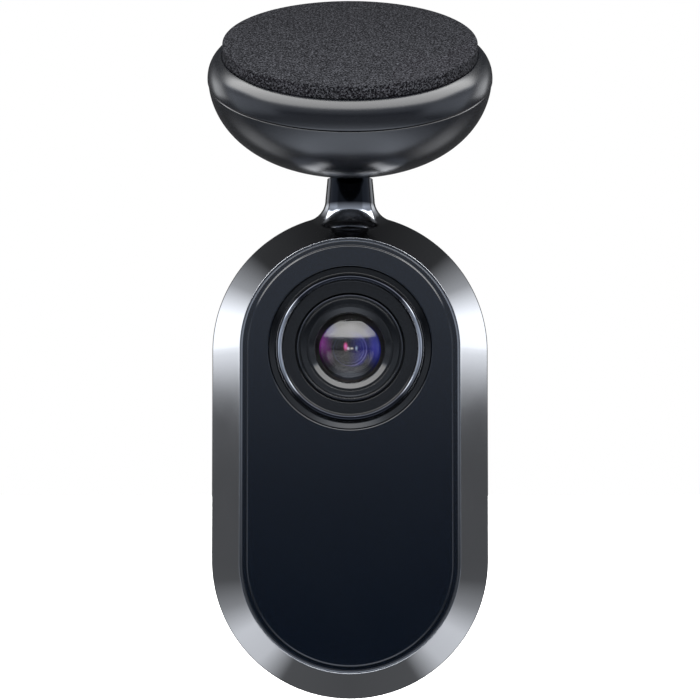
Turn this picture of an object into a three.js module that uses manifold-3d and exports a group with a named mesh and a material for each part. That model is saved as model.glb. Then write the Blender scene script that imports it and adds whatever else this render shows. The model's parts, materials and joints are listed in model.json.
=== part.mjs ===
// A dash camera that hangs from a windscreen pad on a ball joint.
// Millimetres, +Z up, the lens looks along -Y. The origin is the middle of the adhesive pad's face.

import * as THREE from 'three';
import { mergeVertices } from 'three/addons/utils/BufferGeometryUtils.js';
import Module from 'manifold-3d';

const wasm = await Module();
wasm.setup();

// ---- driving dimensions ----

// The head that sticks to the glass. Heights are along its own axis, from the ball's centre.
const headTiltDegrees = 30.5;
const padRadius = 16.83;
const padFaceHeight = 12;
const padThickness = 1.5;
const headRadius = 18.9;
const headWidestHeight = 7.2;
const headPartingHeight = 6.8;
const bowlRadius = 18.81;
const bowlDepth = 11.6;
const bowlOpeningRadius = 8.6;
const shellWall = 1.6;
const partingGap = 0.3;

// The ball joint.
const ballRadius = 6;
const ballClearance = 0.15;
const studRadius = 2.2;
const linerRadius = 7.4;
const housingRadius = 8.3;

// The camera body is a stadium: two half circles joined by straight sides.
const bodyCentreBelowBall = 44.1;
const bodyRadius = 18.4;
const arcCentre = 13.87;
const frameFront = 8.3;
const frameRear = 6.2;
const bezelRadius = 14.26;
const frameCavityRadius = 16.2;
const fasciaFront = 8.6;
const fasciaRear = 7.4;
const fasciaRadius = 13.3;
const fasciaStepRadius = 13.96;
const fasciaStep = 0.45;
const lensOpeningRadius = 10.6;
const rearCoverFront = 6.5;
const rearCoverBack = 9.8;
const rearPocketRadius = 12.4;
const rearPocketDepth = 8.3;
const neckRadius = 3.05;

// Round pieces on the body: screws, button, speaker.
const rearScrewX = 14.3;
const rearScrewZ = 17;
const buttonZ = -3;
const buttonRadius = 3;
const speakerZ = -24.2;
const microphoneX = 10;
const microphoneZ = -4;
const lightPipeX = 8;
const lightPipeZ = 9;

// Ports in the frame's sides.
const portY = 2.9;
const usbZ = -4;
const usbWidth = 8.94;
const usbHeight = 3.26;
const cardZ = -6;
const cardY = 3.65;

// The boards' faces, measured backwards from the body's widest plane.
const boardFront = 4.6;
const boardBack = 5.6;

const bodyArcSegments = 36;
const headArcSegments = 40;

// ---- screw places ----

const aroundCircle = (radius, angles) => angles.map((degrees) => {
  const angle = THREE.MathUtils.degToRad(degrees);
  return [radius * Math.cos(angle), radius * Math.sin(angle)];
});

const socketScrewPlaces = aroundCircle(11.3, [90, 210, 330]);
const holderScrewPlaces = [[-7.4, 7.4], [7.4, -7.4]];
const rearScrewPlaces = [
  [-rearScrewX, rearScrewZ], [rearScrewX, rearScrewZ],
  [-rearScrewX, -rearScrewZ], [rearScrewX, -rearScrewZ],
];

// ---- materials ----

const finish = (color, roughness, metalness) =>
  new THREE.MeshStandardMaterial({ color, roughness, metalness });

const smokedMetal = () => finish(0x2a2e34, 0.22, 0.85);
const glossBlack = () => finish(0x14171d, 0.08, 0.1);
const satinBlack = () => finish(0x16181c, 0.4, 0.1);
const mattBlack = () => finish(0x0e0f11, 0.8, 0);
const foamBlack = () => finish(0x1d1e20, 0.95, 0);
const rubberBlack = () => finish(0x121212, 0.9, 0);
const coatedGlass = () => finish(0x1a1440, 0.03, 0.1);
const clearPlastic = () => finish(0xd8dde2, 0.2, 0);
const steel = () => finish(0xa8abb0, 0.3, 1);
const tinned = () => finish(0xb9bcc0, 0.35, 0.95);
const boardGreen = () => finish(0x0d3b2a, 0.5, 0);
const chipBlack = () => finish(0x17181a, 0.55, 0);
const amberFilm = () => finish(0x9a6a20, 0.45, 0);
const greyPad = () => finish(0x8d939b, 0.85, 0);
const wrapBlue = () => finish(0x2d4f86, 0.4, 0);
const acetal = () => finish(0x232426, 0.4, 0);

// ---- shape helpers ----

// A closed three.js geometry as a solid for cutting and joining.
function toSolid(geometry) {
  const bare = geometry.clone();
  bare.deleteAttribute('normal');
  bare.deleteAttribute('uv');
  const welded = mergeVertices(bare, 1e-5);
  return new wasm.Manifold(new wasm.Mesh({
    numProp: 3,
    vertProperties: new Float32Array(welded.attributes.position.array),
    triVerts: new Uint32Array(welded.index.array),
  }));
}

function toGeometry(solid) {
  const mesh = solid.getMesh();
  const geometry = new THREE.BufferGeometry();
  geometry.setAttribute('position', new THREE.BufferAttribute(mesh.vertProperties, 3));
  geometry.setIndex(new THREE.BufferAttribute(mesh.triVerts, 1));
  geometry.computeVertexNormals();
  return geometry;
}

// Profiles are [radius, height] points, with the outer side rising.
const latheGeometry = (profile, segments) =>
  new THREE.LatheGeometry(profile.map(([r, h]) => new THREE.Vector2(r, h)), segments);

// A closed ring's profile, which ends where it starts.
const closed = (profile) => [...profile, profile[0]];

// Turned about +Z.
const turned = (profile, segments = headArcSegments) =>
  latheGeometry(profile, segments).rotateX(Math.PI / 2);

// Turned about the lens axis: height is measured forwards, along -Y.
const turnedForward = (profile, segments = bodyArcSegments) =>
  latheGeometry(profile, segments).rotateX(Math.PI);

// Turned about the rear button's axis: height is measured backwards, along +Y.
const turnedBackward = (profile, segments = 24) => latheGeometry(profile, segments);

function cylinderAlongY(radius, front, back, segments = 16) {
  const geometry = new THREE.CylinderGeometry(radius, radius, back - front, segments);
  return geometry.translate(0, (front + back) / 2, 0);
}

function cylinderAlongZ(radius, bottom, top, segments = 16) {
  const geometry = new THREE.CylinderGeometry(radius, radius, top - bottom, segments);
  return geometry.rotateX(Math.PI / 2).translate(0, 0, (bottom + top) / 2);
}

// A box from its lowest corner to its highest.
function boxBetween(low, high) {
  const size = high.map((value, i) => value - low[i]);
  const middle = high.map((value, i) => (value + low[i]) / 2);
  return new THREE.BoxGeometry(...size).translate(...middle);
}

// A solid with a stadium outline. The profile holds [arc radius, distance forwards] points from the
// back of the axis to its front. The two turned ends are joined by a straight middle.
function stadiumSolid(profile) {
  const end = turnedForward(profile);
  const outline = new THREE.Shape();
  const rim = profile.filter(([r]) => r > 0);
  rim.forEach(([r, d], i) => (i ? outline.lineTo(r, d) : outline.moveTo(r, d)));
  [...rim].reverse().forEach(([r, d]) => outline.lineTo(-r, d));
  const middle = new THREE.ExtrudeGeometry(outline, { depth: 2 * arcCentre, bevelEnabled: false });
  middle.translate(0, 0, -arcCentre).rotateX(Math.PI);
  return toSolid(middle)
    .add(toSolid(end.clone().translate(0, 0, arcCentre)))
    .add(toSolid(end.clone().translate(0, 0, -arcCentre)));
}

const stadiumPlate = (radius, rear, front) =>
  stadiumSolid([[0, rear], [radius, rear], [radius, front], [0, front]]);

// A slot with round ends: long side along Z, short side along Y, pushed along X.
function slotAlongX(long, short, from, to) {
  const r = short / 2;
  const reach = long / 2 - r;
  const outline = new THREE.Shape();
  outline.absarc(0, reach, r, 0, Math.PI, false);
  outline.absarc(0, -reach, r, Math.PI, 2 * Math.PI, false);
  const options = { depth: to - from, bevelEnabled: false, curveSegments: 8 };
  const geometry = new THREE.ExtrudeGeometry(outline, options);
  const toPlace = new THREE.Matrix4().makeBasis(
    new THREE.Vector3(0, 1, 0), new THREE.Vector3(0, 0, 1), new THREE.Vector3(1, 0, 0));
  return geometry.applyMatrix4(toPlace).translate(from, 0, 0);
}

function addMesh(group, name, geometry, material, position = [0, 0, 0]) {
  const mesh = new THREE.Mesh(geometry, material);
  mesh.name = name;
  mesh.position.set(...position);
  group.add(mesh);
  return mesh;
}

// ---- the head: pad, two shells and the ball's socket, built along +Z from the ball's centre ----

// Outer radius of the bowl at a depth below its widest plane.
const bowlRadiusAt = (depth) => bowlRadius * (1 - (depth / bowlDepth) ** 1.98) ** (1 / 2.68);

function bowlProfile(inset, depths) {
  return depths.map((depth) => [bowlRadiusAt(depth) - inset, headWidestHeight - depth]);
}

function headTopShell() {
  const ceiling = 8.8;
  const topFace = padFaceHeight - padThickness - 0.1;
  return turned([
    [0, ceiling], [15.9, ceiling], [17.26, 7.6], [17.26, headPartingHeight],
    [headRadius - 0.04, headPartingHeight], [headRadius, 7.1], [18.87, 7.5], [18.65, 8.5],
    [18.25, 9.4], [17.6, 10.2], [17.06, topFace], [0, topFace],
  ]);
}

function headBottomShell() {
  const rimDepth = headWidestHeight - headPartingHeight + partingGap;
  const outer = bowlProfile(0, [10.83, 10.55, 9.8, 8.6, 6.7, 4.8, 2.9, rimDepth]);
  const inner = bowlProfile(shellWall, [rimDepth, 2.9, 4.8, 6.7, 8.4]);
  const floorHeight = outer[0][1] + 1.5;
  const shell = toSolid(turned(closed([
    [bowlOpeningRadius, outer[0][1]], ...outer, ...inner, [9.6, floorHeight],
    [bowlOpeningRadius, floorHeight],
  ])));
  return toGeometry(socketScrewPlaces.reduce((solid, [x, y]) => solid
    .add(toSolid(cylinderAlongZ(1.8, -1.6, 2).translate(x, y, 0)))
    .subtract(toSolid(cylinderAlongZ(0.9, -1, 3).translate(x, y, 0))), shell));
}

// A cup with a flange that screws to the bottom shell, and a lip that holds the liner up.
function socketHousing() {
  const cup = toSolid(turned(closed([
    [6.9, -3.3], [housingRadius, -3.3], [housingRadius, 2.2], [13.4, 2.2], [13.4, 3.6],
    [linerRadius + 0.1, 3.6], [linerRadius + 0.1, -2.75], [6.9, -2.75],
  ])));
  return toGeometry(socketScrewPlaces.reduce((solid, [x, y]) => solid
    .subtract(toSolid(cylinderAlongZ(1, 1, 5).translate(x, y, 0))), cup));
}

// The liner's inside is a sphere around the ball, cut off below the ball's widest line.
function socketLiner() {
  const ring = turned(closed([
    [4, -2.6], [linerRadius, -2.6], [linerRadius, 3.4], [4, 3.4],
  ]), 32);
  const seat = new THREE.SphereGeometry(ballRadius + ballClearance, 32, 20).rotateX(Math.PI / 2);
  return toGeometry(toSolid(ring).subtract(toSolid(seat)));
}

function pressureCup() {
  const seatRadius = ballRadius + 2 * ballClearance;
  const seat = [60, 52, 42, 32, 20, 0].map((degrees) => {
    const angle = THREE.MathUtils.degToRad(degrees);
    return [seatRadius * Math.sin(angle), seatRadius * Math.cos(angle)];
  });
  const rimHeight = 3.8;
  const rest = seat.filter(([, height]) => height > rimHeight).reverse();
  return turned([...rest, [5.1, rimHeight], [7, rimHeight], [7, 7.2], [0, 7.2]], 32);
}

function buildHead() {
  const head = new THREE.Group();
  const padBottom = padFaceHeight - padThickness;
  addMesh(head, 'adhesive_foam_pad',
    cylinderAlongZ(padRadius, padBottom, padFaceHeight, headArcSegments), foamBlack());
  addMesh(head, 'head_top_shell', headTopShell(), glossBlack());
  addMesh(head, 'head_bottom_shell', headBottomShell(), glossBlack());
  addMesh(head, 'socket_housing', socketHousing(), satinBlack());
  addMesh(head, 'pressure_cup', pressureCup(), acetal());
  addMesh(head, 'spring_washer', turned(closed([
    [3.2, 8.2], [6.4, 7.35], [6.6, 7.35], [6.6, 7.75], [3.4, 8.65], [3.2, 8.65],
  ]), 28), steel());
  socketScrewPlaces.forEach(([x, y], i) => {
    const screw = turned([[0, -0.6], [0.8, -0.6], [0.8, 3.75], [1.6, 3.75], [1.6, 4.5], [0, 4.5]], 12);
    addMesh(head, `socket_screw_${i + 1}`, screw, steel(), [x, y, 0]);
  });
  addMesh(head, 'socket_liner', socketLiner(), acetal());
  return head;
}

// ---- the ball on the neck ----

function pivotBall() {
  const ball = new THREE.SphereGeometry(ballRadius, 32, 20).rotateX(Math.PI / 2);
  return toGeometry(toSolid(ball)
    .subtract(toSolid(cylinderAlongZ(studRadius + 0.1, -8, 8, 32)))
    .subtract(toSolid(boxBetween([-7, -7, 4], [7, 7, 8])))
    .subtract(toSolid(boxBetween([-7, -7, -8], [7, 7, -5.2]))));
}

// ---- the camera's shells, built around the middle of the body ----

// Frame: a sloping bezel in front, side walls behind it, and the neck and stud in one piece.
function bodyFrame() {
  const outer = stadiumSolid([
    [0, -frameRear], [17.7, -frameRear], [18.2, -3], [bodyRadius, -0.5], [bodyRadius, 0.3],
    [bezelRadius, frameFront], [0, frameFront],
  ]);
  const cavity = stadiumSolid([
    [0, -7], [frameCavityRadius, -7], [frameCavityRadius, 0.5], [13.4, 6], [0, 6],
  ]);
  const neck = turned([
    [0, -15.6], [4.6, -15.6], [4.55, -13], [4.1, -12], [3.65, -11], [3.3, -9.8],
    [neckRadius, -7.5], [neckRadius - 0.3, -7.1], [studRadius, -7.1], [studRadius, 4.9], [0, 4.9],
  ], 28).translate(0, 0, bodyCentreBelowBall);
  let frame = outer.subtract(cavity)
    .subtract(stadiumPlate(13, 5, 9))
    .subtract(stadiumPlate(bezelRadius, 6.8, 9))
    .add(toSolid(neck));
  for (const [x, z] of rearScrewPlaces) {
    frame = frame
      .add(toSolid(cylinderAlongY(1.9, -1, 6).translate(x, 0, z)))
      .subtract(toSolid(cylinderAlongY(0.9, 0, 7).translate(x, 0, z)));
  }
  const usbSlot = slotAlongX(usbWidth + 0.3, usbHeight + 0.3, -20, -14).translate(0, portY, usbZ);
  const cardSlot = boxBetween([14, cardY - 0.65, cardZ - 5.8], [20, cardY + 0.65, cardZ + 5.8]);
  return toGeometry(frame.subtract(toSolid(usbSlot)).subtract(toSolid(cardSlot)));
}

// A raised face with a lower step around it, and a round opening for the lens.
function frontFascia() {
  const stepFront = fasciaFront - fasciaStep;
  const opening = cylinderAlongY(lensOpeningRadius, -10, -6, bodyArcSegments);
  return toGeometry(stadiumSolid([
    [0, fasciaRear], [fasciaStepRadius, fasciaRear], [fasciaStepRadius, stepFront],
    [fasciaRadius, stepFront], [fasciaRadius, fasciaFront - 0.12],
    [fasciaRadius - 0.12, fasciaFront], [0, fasciaFront],
  ]).subtract(toSolid(opening.translate(0, 0, arcCentre))));
}

const fasciaSeal = () => toGeometry(
  stadiumPlate(13.9, 6.9, 7.3).subtract(stadiumPlate(13.1, 6, 8)));

function rearCover() {
  const speakerHoles = [[0, 0], ...aroundCircle(1.8, [0, 60, 120, 180, 240, 300])];
  let cover = stadiumSolid([
    [0, -rearCoverBack], [13.2, -rearCoverBack], [14.8, -9.5], [16.2, -8.7], [17.2, -7.6],
    [17.6, -rearCoverFront], [0, -rearCoverFront],
  ]).subtract(stadiumPlate(rearPocketRadius, -rearPocketDepth, -6));
  for (const [x, z] of rearScrewPlaces) {
    cover = cover
      .subtract(toSolid(cylinderAlongY(1, 6, 11).translate(x, 0, z)))
      .subtract(toSolid(cylinderAlongY(1.75, 8, 11).translate(x, 0, z)));
  }
  cover = cover
    .subtract(toSolid(cylinderAlongY(buttonRadius + 0.3, 8, 11, 32).translate(0, 0, buttonZ)))
    .subtract(toSolid(cylinderAlongY(0.9, 8, 11, 16).translate(lightPipeX, 0, lightPipeZ)))
    .subtract(toSolid(cylinderAlongY(0.5, 8, 11, 8).translate(microphoneX, 0, microphoneZ)));
  for (const [x, z] of speakerHoles) {
    cover = cover.subtract(toSolid(cylinderAlongY(0.5, 8, 11, 8).translate(x, 0, speakerZ + z)));
  }
  return toGeometry(cover);
}

function addShells(body) {
  addMesh(body, 'body_frame', bodyFrame(), smokedMetal());
  addMesh(body, 'front_fascia', frontFascia(), glossBlack());
  addMesh(body, 'fascia_seal', fasciaSeal(), rubberBlack());
  addMesh(body, 'rear_cover', rearCover(), satinBlack());
  rearScrewPlaces.forEach(([x, z], i) => {
    const screw = turnedBackward(
      [[0, 1], [0.8, 1], [0.8, 8.15], [1.5, 8.15], [1.5, 9.1], [0, 9.1]], 12);
    addMesh(body, `rear_screw_${i + 1}`, screw, steel(), [x, 0, z]);
  });
  const clipBore = studRadius + 0.05;
  addMesh(body, 'stud_clip', turned(closed([
    [clipBore, 4.1], [3.4, 4.1], [3.4, 4.7], [clipBore, 4.7],
  ]), 32), steel(), [0, 0, bodyCentreBelowBall]);
}

// ---- the lens, built around its own axis; heights are forwards from the body's widest plane ----

// A lens element: a front curve, a back curve and a flat ground edge.
function lensElement(radius, clearRadius, frontEdge, backEdge, frontSag, backSag) {
  const steps = [0, 0.35, 0.7, 1];
  const curve = (edge, sag) => steps.map((s) => [s * clearRadius, edge + sag * (1 - s * s)]);
  return turnedForward([
    ...curve(backEdge, backSag), [radius, backEdge], [radius, frontEdge],
    ...curve(frontEdge, frontSag).reverse(),
  ], 24);
}

// Bezel: a shallow moat inside the fascia's opening, a raised lip, and a flat ring at the barrel.
const lensBezel = () => turnedForward(closed([
  [7.15, 6.5], [11.2, 6.5], [11.2, 7.2], [10.55, 7.2], [10.45, 8], [9.62, 7.86], [9.42, 8.2],
  [9.26, 8.95], [9.05, 9.13], [8.7, 9.09], [8.55, 8.9], [8.46, 8.66], [7.15, 8.62],
]));

const lensBarrel = () => turnedForward(closed([
  [4.2, -0.9], [5.95, -0.9], [5.95, 5.8], [6.85, 5.8], [6.85, 8.4], [6.75, 8.5], [6.62, 8.5],
  [6.56, 8.3], [6.46, 8.3], [6.4, 8.42], [6.2, 8.36], [5.65, 8.02], [5.65, 3.6], [4.7, 3.6],
  [4.7, 0.4], [4.2, 0.4],
]));

// Holder: a sleeve around the barrel on a square base with room for the sensor.
function lensHolder() {
  const sleeve = turnedForward(closed([[6.1, -1.5], [7.6, -1.5], [7.6, 4.5], [6.1, 4.5]]), 32);
  const base = toSolid(boxBetween([-8.5, 1, -8.5], [8.5, 3.2, 8.5]))
    .subtract(toSolid(boxBetween([-5.5, 1.5, -5.5], [5.5, 4, 5.5])))
    .subtract(toSolid(cylinderAlongY(6.1, 0, 1.6, 32)));
  let holder = toSolid(sleeve).add(base);
  for (const [x, z] of holderScrewPlaces) {
    holder = holder.subtract(toSolid(cylinderAlongY(0.6, 1.6, 4, 16).translate(x, 0, z)));
  }
  return toGeometry(holder);
}

function buildLens() {
  const lens = new THREE.Group();
  addMesh(lens, 'lens_bezel', lensBezel(), satinBlack());
  addMesh(lens, 'lens_barrel', lensBarrel(), satinBlack());
  addMesh(lens, 'lens_retaining_ring', turnedForward(closed([
    [4.65, 6.95], [5.55, 6.95], [5.55, 7.88], [5.2, 7.88], [4.65, 7.45],
  ])), satinBlack());
  addMesh(lens, 'front_lens', lensElement(5.5, 4.5, 6.85, 5.3, 1.6, 0.9), coatedGlass());
  addMesh(lens, 'lens_spacer', turnedForward(closed([
    [4.7, 4.5], [5.5, 4.5], [5.5, 5.2], [4.7, 5.2],
  ]), 24), mattBlack());
  addMesh(lens, 'second_lens', lensElement(5.5, 4.2, 4.4, 3.75, -0.15, 0.2), coatedGlass());
  addMesh(lens, 'aperture_stop', turnedForward(closed([
    [1.3, 3.1], [4.6, 3.1], [4.6, 3.4], [1.3, 3.4],
  ]), 24), mattBlack());
  addMesh(lens, 'third_lens', lensElement(4.6, 4, 2.2, 1.9, 0.7, -0.3), coatedGlass());
  addMesh(lens, 'rear_lens', lensElement(4.6, 4, 1.2, 0.8, 0.3, -0.2), coatedGlass());
  addMesh(lens, 'infrared_filter', boxBetween([-4.3, 1.6, -4.3], [4.3, 1.9, 4.3]), coatedGlass());
  addMesh(lens, 'lens_holder', lensHolder(), satinBlack());
  addMesh(lens, 'image_sensor', boxBetween([-4.8, 2.1, -4.2], [4.8, 3.2, 4.2]), chipBlack());
  let board = toSolid(boxBetween([-10, 3.3, -11], [10, 4.1, 11]));
  for (const [x, z] of holderScrewPlaces) {
    board = board.subtract(toSolid(cylinderAlongY(0.7, 3, 5, 16).translate(x, 0, z)));
  }
  addMesh(lens, 'sensor_board', toGeometry(board), boardGreen());
  holderScrewPlaces.forEach(([x, z], i) => {
    const screw = turnedBackward(
      [[0, 1.9], [0.5, 1.9], [0.5, 4.2], [1.1, 4.2], [1.1, 4.8], [0, 4.8]], 12);
    addMesh(lens, `holder_screw_${i + 1}`, screw, steel(), [x, 0, z]);
  });
  return lens;
}

// ---- the electronics behind and below the lens ----

// The main board is narrower at its foot, where it passes between the screw bosses.
function mainBoard() {
  const outline = new THREE.Shape();
  outline.moveTo(-14.4, 5);
  outline.lineTo(-14.4, -14.2);
  outline.lineTo(-11.8, -14.2);
  outline.lineTo(-11.8, -18.5);
  outline.lineTo(11.8, -18.5);
  outline.lineTo(11.8, -14.2);
  outline.lineTo(14.4, -14.2);
  outline.lineTo(14.4, 5);
  const options = { depth: boardBack - boardFront, bevelEnabled: false };
  return new THREE.ExtrudeGeometry(outline, options).rotateX(Math.PI / 2).translate(0, boardBack, 0);
}

// A flat cable from the sensor board's back, over the main board's edge, to the main board's back.
function flexCable() {
  const outline = new THREE.Shape();
  const side = [[4.35, 10], [4.35, 6.6], [5.9, 5.6], [5.9, 4.1]];
  const thickness = 0.25;
  side.forEach(([y, z], i) => (i ? outline.lineTo(y, z) : outline.moveTo(y, z)));
  [...side].reverse().forEach(([y, z]) => outline.lineTo(y + thickness, z + thickness / 2));
  const geometry = new THREE.ExtrudeGeometry(outline, { depth: 8, bevelEnabled: false });
  const toPlace = new THREE.Matrix4().makeBasis(
    new THREE.Vector3(0, 1, 0), new THREE.Vector3(0, 0, 1), new THREE.Vector3(1, 0, 0));
  return geometry.applyMatrix4(toPlace).translate(-4, 0, 0);
}

// USB-C inlet: a drawn shell, open to the side, and the contact tongue inside it.
function usbSocket() {
  const outer = toSolid(slotAlongX(usbWidth, usbHeight, -17.9, -10.6));
  return toGeometry(outer.subtract(toSolid(slotAlongX(8.34, 2.56, -19, -11.2))));
}

function cardSocket() {
  const outer = toSolid(boxBetween([1.5, 2.6, cardZ - 6.3], [15.9, boardFront - 0.1, cardZ + 6.3]));
  const slot = boxBetween([2.3, cardY - 0.6, cardZ - 5.7], [17, cardY + 0.6, cardZ + 5.7]);
  return toGeometry(outer.subtract(toSolid(slot)));
}

function memoryCard() {
  const card = toSolid(boxBetween([2.6, cardY - 0.35, cardZ - 5.5], [17.6, cardY + 0.35, cardZ + 5.5]));
  const notch = boxBetween([2, cardY - 1, cardZ + 4.6], [8, cardY + 1, cardZ + 7]);
  return toGeometry(card.subtract(toSolid(notch)));
}

function addElectronics(body) {
  const back = boardBack + 0.1;
  const front = boardFront - 0.1;
  addMesh(body, 'main_board', mainBoard(), boardGreen());
  addMesh(body, 'flex_cable', flexCable(), amberFilm());
  addMesh(body, 'flex_connector', boxBetween([-4.6, back, 1.3], [4.6, back + 1, 3.8]), acetal());
  addMesh(body, 'processor', boxBetween([-5, back, -18], [5, 6.6, -8]), chipBlack());
  addMesh(body, 'thermal_pad', boxBetween([-4.5, 6.7, -17.5], [4.5, 7.4, -8.5]), greyPad());
  addMesh(body, 'heat_spreader', boxBetween([-9, 7.5, -18.5], [9, 8.1, -7.5]), tinned());
  addMesh(body, 'memory_chip', boxBetween([-9, front - 0.9, -17], [-1, front, -10]), chipBlack());
  addMesh(body, 'motion_sensor', boxBetween([-4.5, front - 1, -1.5], [-1.5, front, 1.5]), chipBlack());
  addMesh(body, 'backup_battery', boxBetween([-10, -4.6, -22], [10, 0.6, -2]), wrapBlue());
  addMesh(body, 'usb_socket', usbSocket(), steel(), [0, portY, usbZ]);
  addMesh(body, 'usb_tongue',
    boxBetween([-16.8, portY - 0.35, usbZ - 3.3], [-11.3, portY + 0.35, usbZ + 3.3]), satinBlack());
  addMesh(body, 'card_socket', cardSocket(), tinned());
  addMesh(body, 'memory_card', memoryCard(), satinBlack());
  addMesh(body, 'speaker', turnedBackward([
    [0, 3.5], [4, 3.5], [4.6, 4.2], [4.6, 6.1], [4.1, 6.1], [3.6, 5.7], [1.6, 5.9], [0, 6.1],
  ]), mattBlack(), [0, 0, speakerZ]);
  addMesh(body, 'microphone', boxBetween(
    [microphoneX - 1.8, back, microphoneZ - 1.4], [microphoneX + 1.8, back + 1.1, microphoneZ + 1.4]),
  steel());
  addMesh(body, 'wifi_antenna', boxBetween([-7, 7.95, 18], [7, 8.2, 23]), amberFilm());
  addMesh(body, 'button_switch', turnedBackward([
    [0, back], [2.4, back], [2.4, 6.6], [1.1, 6.7], [1.1, 7.1], [0, 7.1],
  ], 24), steel(), [0, 0, buttonZ]);
  addMesh(body, 'rear_button', turnedBackward([
    [0, 7.6], [3.9, 7.6], [3.9, 8.1], [buttonRadius, 8.1], [buttonRadius, 9.9],
    [buttonRadius - 0.3, 10.2], [0, 10.2],
  ]), satinBlack(), [0, 0, buttonZ]);
  addMesh(body, 'status_led', boxBetween(
    [lightPipeX - 0.8, 4.2, lightPipeZ - 0.5], [lightPipeX + 0.8, 4.8, lightPipeZ + 0.5]),
  clearPlastic());
  addMesh(body, 'status_light_pipe', turnedBackward([
    [0, 5], [0.7, 5], [0.7, 7.6], [1.4, 7.6], [1.4, 8.1], [0.75, 8.1], [0.75, 9.9], [0, 9.9],
  ], 12), clearPlastic(), [lightPipeX, 0, lightPipeZ]);
}

// ---- assembly ----

const tilt = THREE.MathUtils.degToRad(headTiltDegrees);
const dashCamera = new THREE.Group();
dashCamera.position.set(0, padFaceHeight * Math.sin(tilt), -padFaceHeight * Math.cos(tilt));

const head = buildHead();
head.rotation.x = tilt;
dashCamera.add(head);

addMesh(dashCamera, 'pivot_ball', pivotBall(), steel());

const body = new THREE.Group();
body.position.z = -bodyCentreBelowBall;
addShells(body);
addElectronics(body);
const lens = buildLens();
lens.position.z = arcCentre;
body.add(lens);
dashCamera.add(body);

export default dashCamera;
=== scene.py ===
import json
import math

import bmesh
import bpy
import numpy as np
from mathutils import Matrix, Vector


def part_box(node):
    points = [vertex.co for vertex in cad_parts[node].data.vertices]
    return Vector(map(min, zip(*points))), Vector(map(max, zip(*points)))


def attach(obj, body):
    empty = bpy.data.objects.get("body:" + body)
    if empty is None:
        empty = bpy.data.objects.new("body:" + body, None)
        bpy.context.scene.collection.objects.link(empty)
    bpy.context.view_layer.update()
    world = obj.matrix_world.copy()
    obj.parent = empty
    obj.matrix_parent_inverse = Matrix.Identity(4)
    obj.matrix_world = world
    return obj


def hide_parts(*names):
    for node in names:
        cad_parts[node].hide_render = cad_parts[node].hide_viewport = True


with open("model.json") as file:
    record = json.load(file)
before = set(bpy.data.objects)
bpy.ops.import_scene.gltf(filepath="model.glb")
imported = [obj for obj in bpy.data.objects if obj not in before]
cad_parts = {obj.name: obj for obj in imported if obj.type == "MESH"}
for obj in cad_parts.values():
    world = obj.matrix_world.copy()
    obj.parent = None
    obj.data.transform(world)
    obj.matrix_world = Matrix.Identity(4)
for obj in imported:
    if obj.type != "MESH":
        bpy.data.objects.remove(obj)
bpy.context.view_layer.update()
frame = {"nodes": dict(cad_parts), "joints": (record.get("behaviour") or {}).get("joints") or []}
print("frame:", len(frame["nodes"]), "nodes")

mm = 0.001
joints = {j["name"]: j for j in frame["joints"]}

# places taken from the frame, in millimetres
ball = np.array(joints["head_swivel"]["pos_m"]) / mm
headAxis = np.array(joints["head_swivel"]["axis"], float)
faceLow, faceHigh = (np.array(p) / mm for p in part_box("front_fascia"))
bodyMid = np.array([0, ball[1], (faceLow[2] + faceHigh[2]) / 2])
arc = ((faceHigh[2] - faceLow[2]) - (faceHigh[0] - faceLow[0])) / 2  # half the straight side
lensMid = bodyMid + [0, 0, arc]
forward = np.array([0.0, -1.0, 0.0])
up = np.array([0.0, 0.0, 1.0])


# ---- mesh helpers ----

def gridFaces(rows, columns, wrapRows=False, wrapColumns=False):
    # quad corners of a rows x columns grid of points, wrapped where it closes on itself
    i, j = np.meshgrid(np.arange(rows if wrapRows else rows - 1),
                       np.arange(columns if wrapColumns else columns - 1), indexing="ij")
    iNext, jNext = (i + 1) % rows, (j + 1) % columns
    quads = [i * columns + j, i * columns + jNext, iNext * columns + jNext, iNext * columns + j]
    return np.stack(quads, -1).reshape(-1, 4)


def makeMesh(name, points, quads, weld=2e-4):
    # points in millimetres; poles and seams are welded, then every face is turned outwards
    mesh = bpy.data.meshes.new(name)
    mesh.from_pydata((np.asarray(points).reshape(-1, 3) * mm).tolist(), [], quads.tolist())
    work = bmesh.new()
    work.from_mesh(mesh)
    bmesh.ops.remove_doubles(work, verts=work.verts, dist=weld * mm)
    bmesh.ops.recalc_face_normals(work, faces=work.faces)
    work.to_mesh(mesh)
    work.free()
    piece = bpy.data.objects.new(name, mesh)
    bpy.context.scene.collection.objects.link(piece)
    return piece


def place(piece, material, body, nodes, sharp=30):
    # gives a finished piece its shading, finish and body, and hides the CAD nodes it stands for
    piece.data.shade_smooth()
    piece.data.set_sharp_from_angle(angle=math.radians(sharp))
    piece.data.materials.clear()
    piece.data.materials.append(material)
    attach(piece, body)
    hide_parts(*nodes)


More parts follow.
